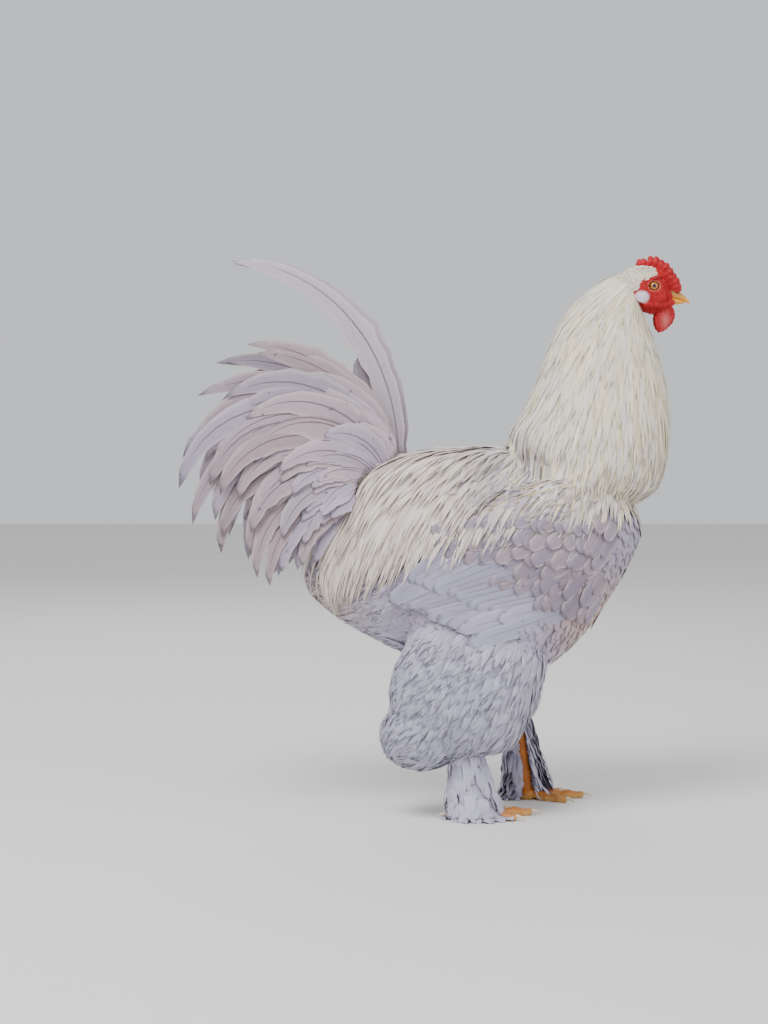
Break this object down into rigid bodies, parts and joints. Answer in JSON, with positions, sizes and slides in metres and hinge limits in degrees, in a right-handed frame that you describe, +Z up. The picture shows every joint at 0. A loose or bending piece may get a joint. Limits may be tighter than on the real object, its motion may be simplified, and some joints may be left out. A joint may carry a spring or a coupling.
{
  "type": "brahma chicken",
  "caption": "Life-size model of a standing large fowl cockerel with pea comb, hackle cape, folded wings, fanned sickle tail and feathered legs.",
  "frame": {"origin": "on the floor, under the middle of the whole bird's bounding box", "axes": "+X towards the beak, +Y to the bird's left, +Z up"},
  "size_m": [0.6444, 0.254, 0.6868],
  "materials": {
    "eye": "clear gloss over amber",
    "flesh": "satin red skin with a bumpy grain",
    "beak": "smooth horn, satin",
    "plumage": "mauve-beige feathers",
    "tail": "pinkish lavender-grey feathers",
    "hackle": "cream feathers with straw edges",
    "earlobe": "smooth pale blue-white skin",
    "wing": "lavender-grey feathers with pale edges",
    "scale": "orange-yellow scales",
    "claw": "pale horn",
    "fluff": "soft pale lavender down"
  },
  "bodies": {
    "root": {"eye_right": "eye", "eye_left": "eye", "head": "flesh", "beak_upper": "beak", "beak_lower": "beak", "comb": "flesh", "torso": "plumage", "tail_fan": "tail", "neck": "hackle", "wattle_right": "flesh", "earlobe_right": "earlobe", "sickle_right": "tail", "tail_coverts_right": "tail", "wattle_left": "flesh", "earlobe_left": "earlobe", "sickle_left": "tail", "tail_coverts_left": "tail", "saddle": "hackle", "wing_right": "wing", "wing_flights_right": "wing", "foot_right": "scale", "toe_inner_right": "scale", "claw_inner_right": "claw", "toe_middle_right": "scale", "claw_middle_right": "claw", "toe_outer_right": "scale", "claw_outer_right": "claw", "toe_hallux_right": "scale", "claw_hallux_right": "claw", "shank_right": "scale", "thigh_right": "fluff", "wing_left": "wing", "wing_flights_left": "wing", "foot_left": "scale", "toe_inner_left": "scale", "claw_inner_left": "claw", "toe_middle_left": "scale", "claw_middle_left": "claw", "toe_outer_left": "scale", "claw_outer_left": "claw", "toe_hallux_left": "scale", "claw_hallux_left": "claw", "shank_left": "scale", "thigh_left": "fluff", "abdomen": "fluff"}
  },
  "joints": []
}
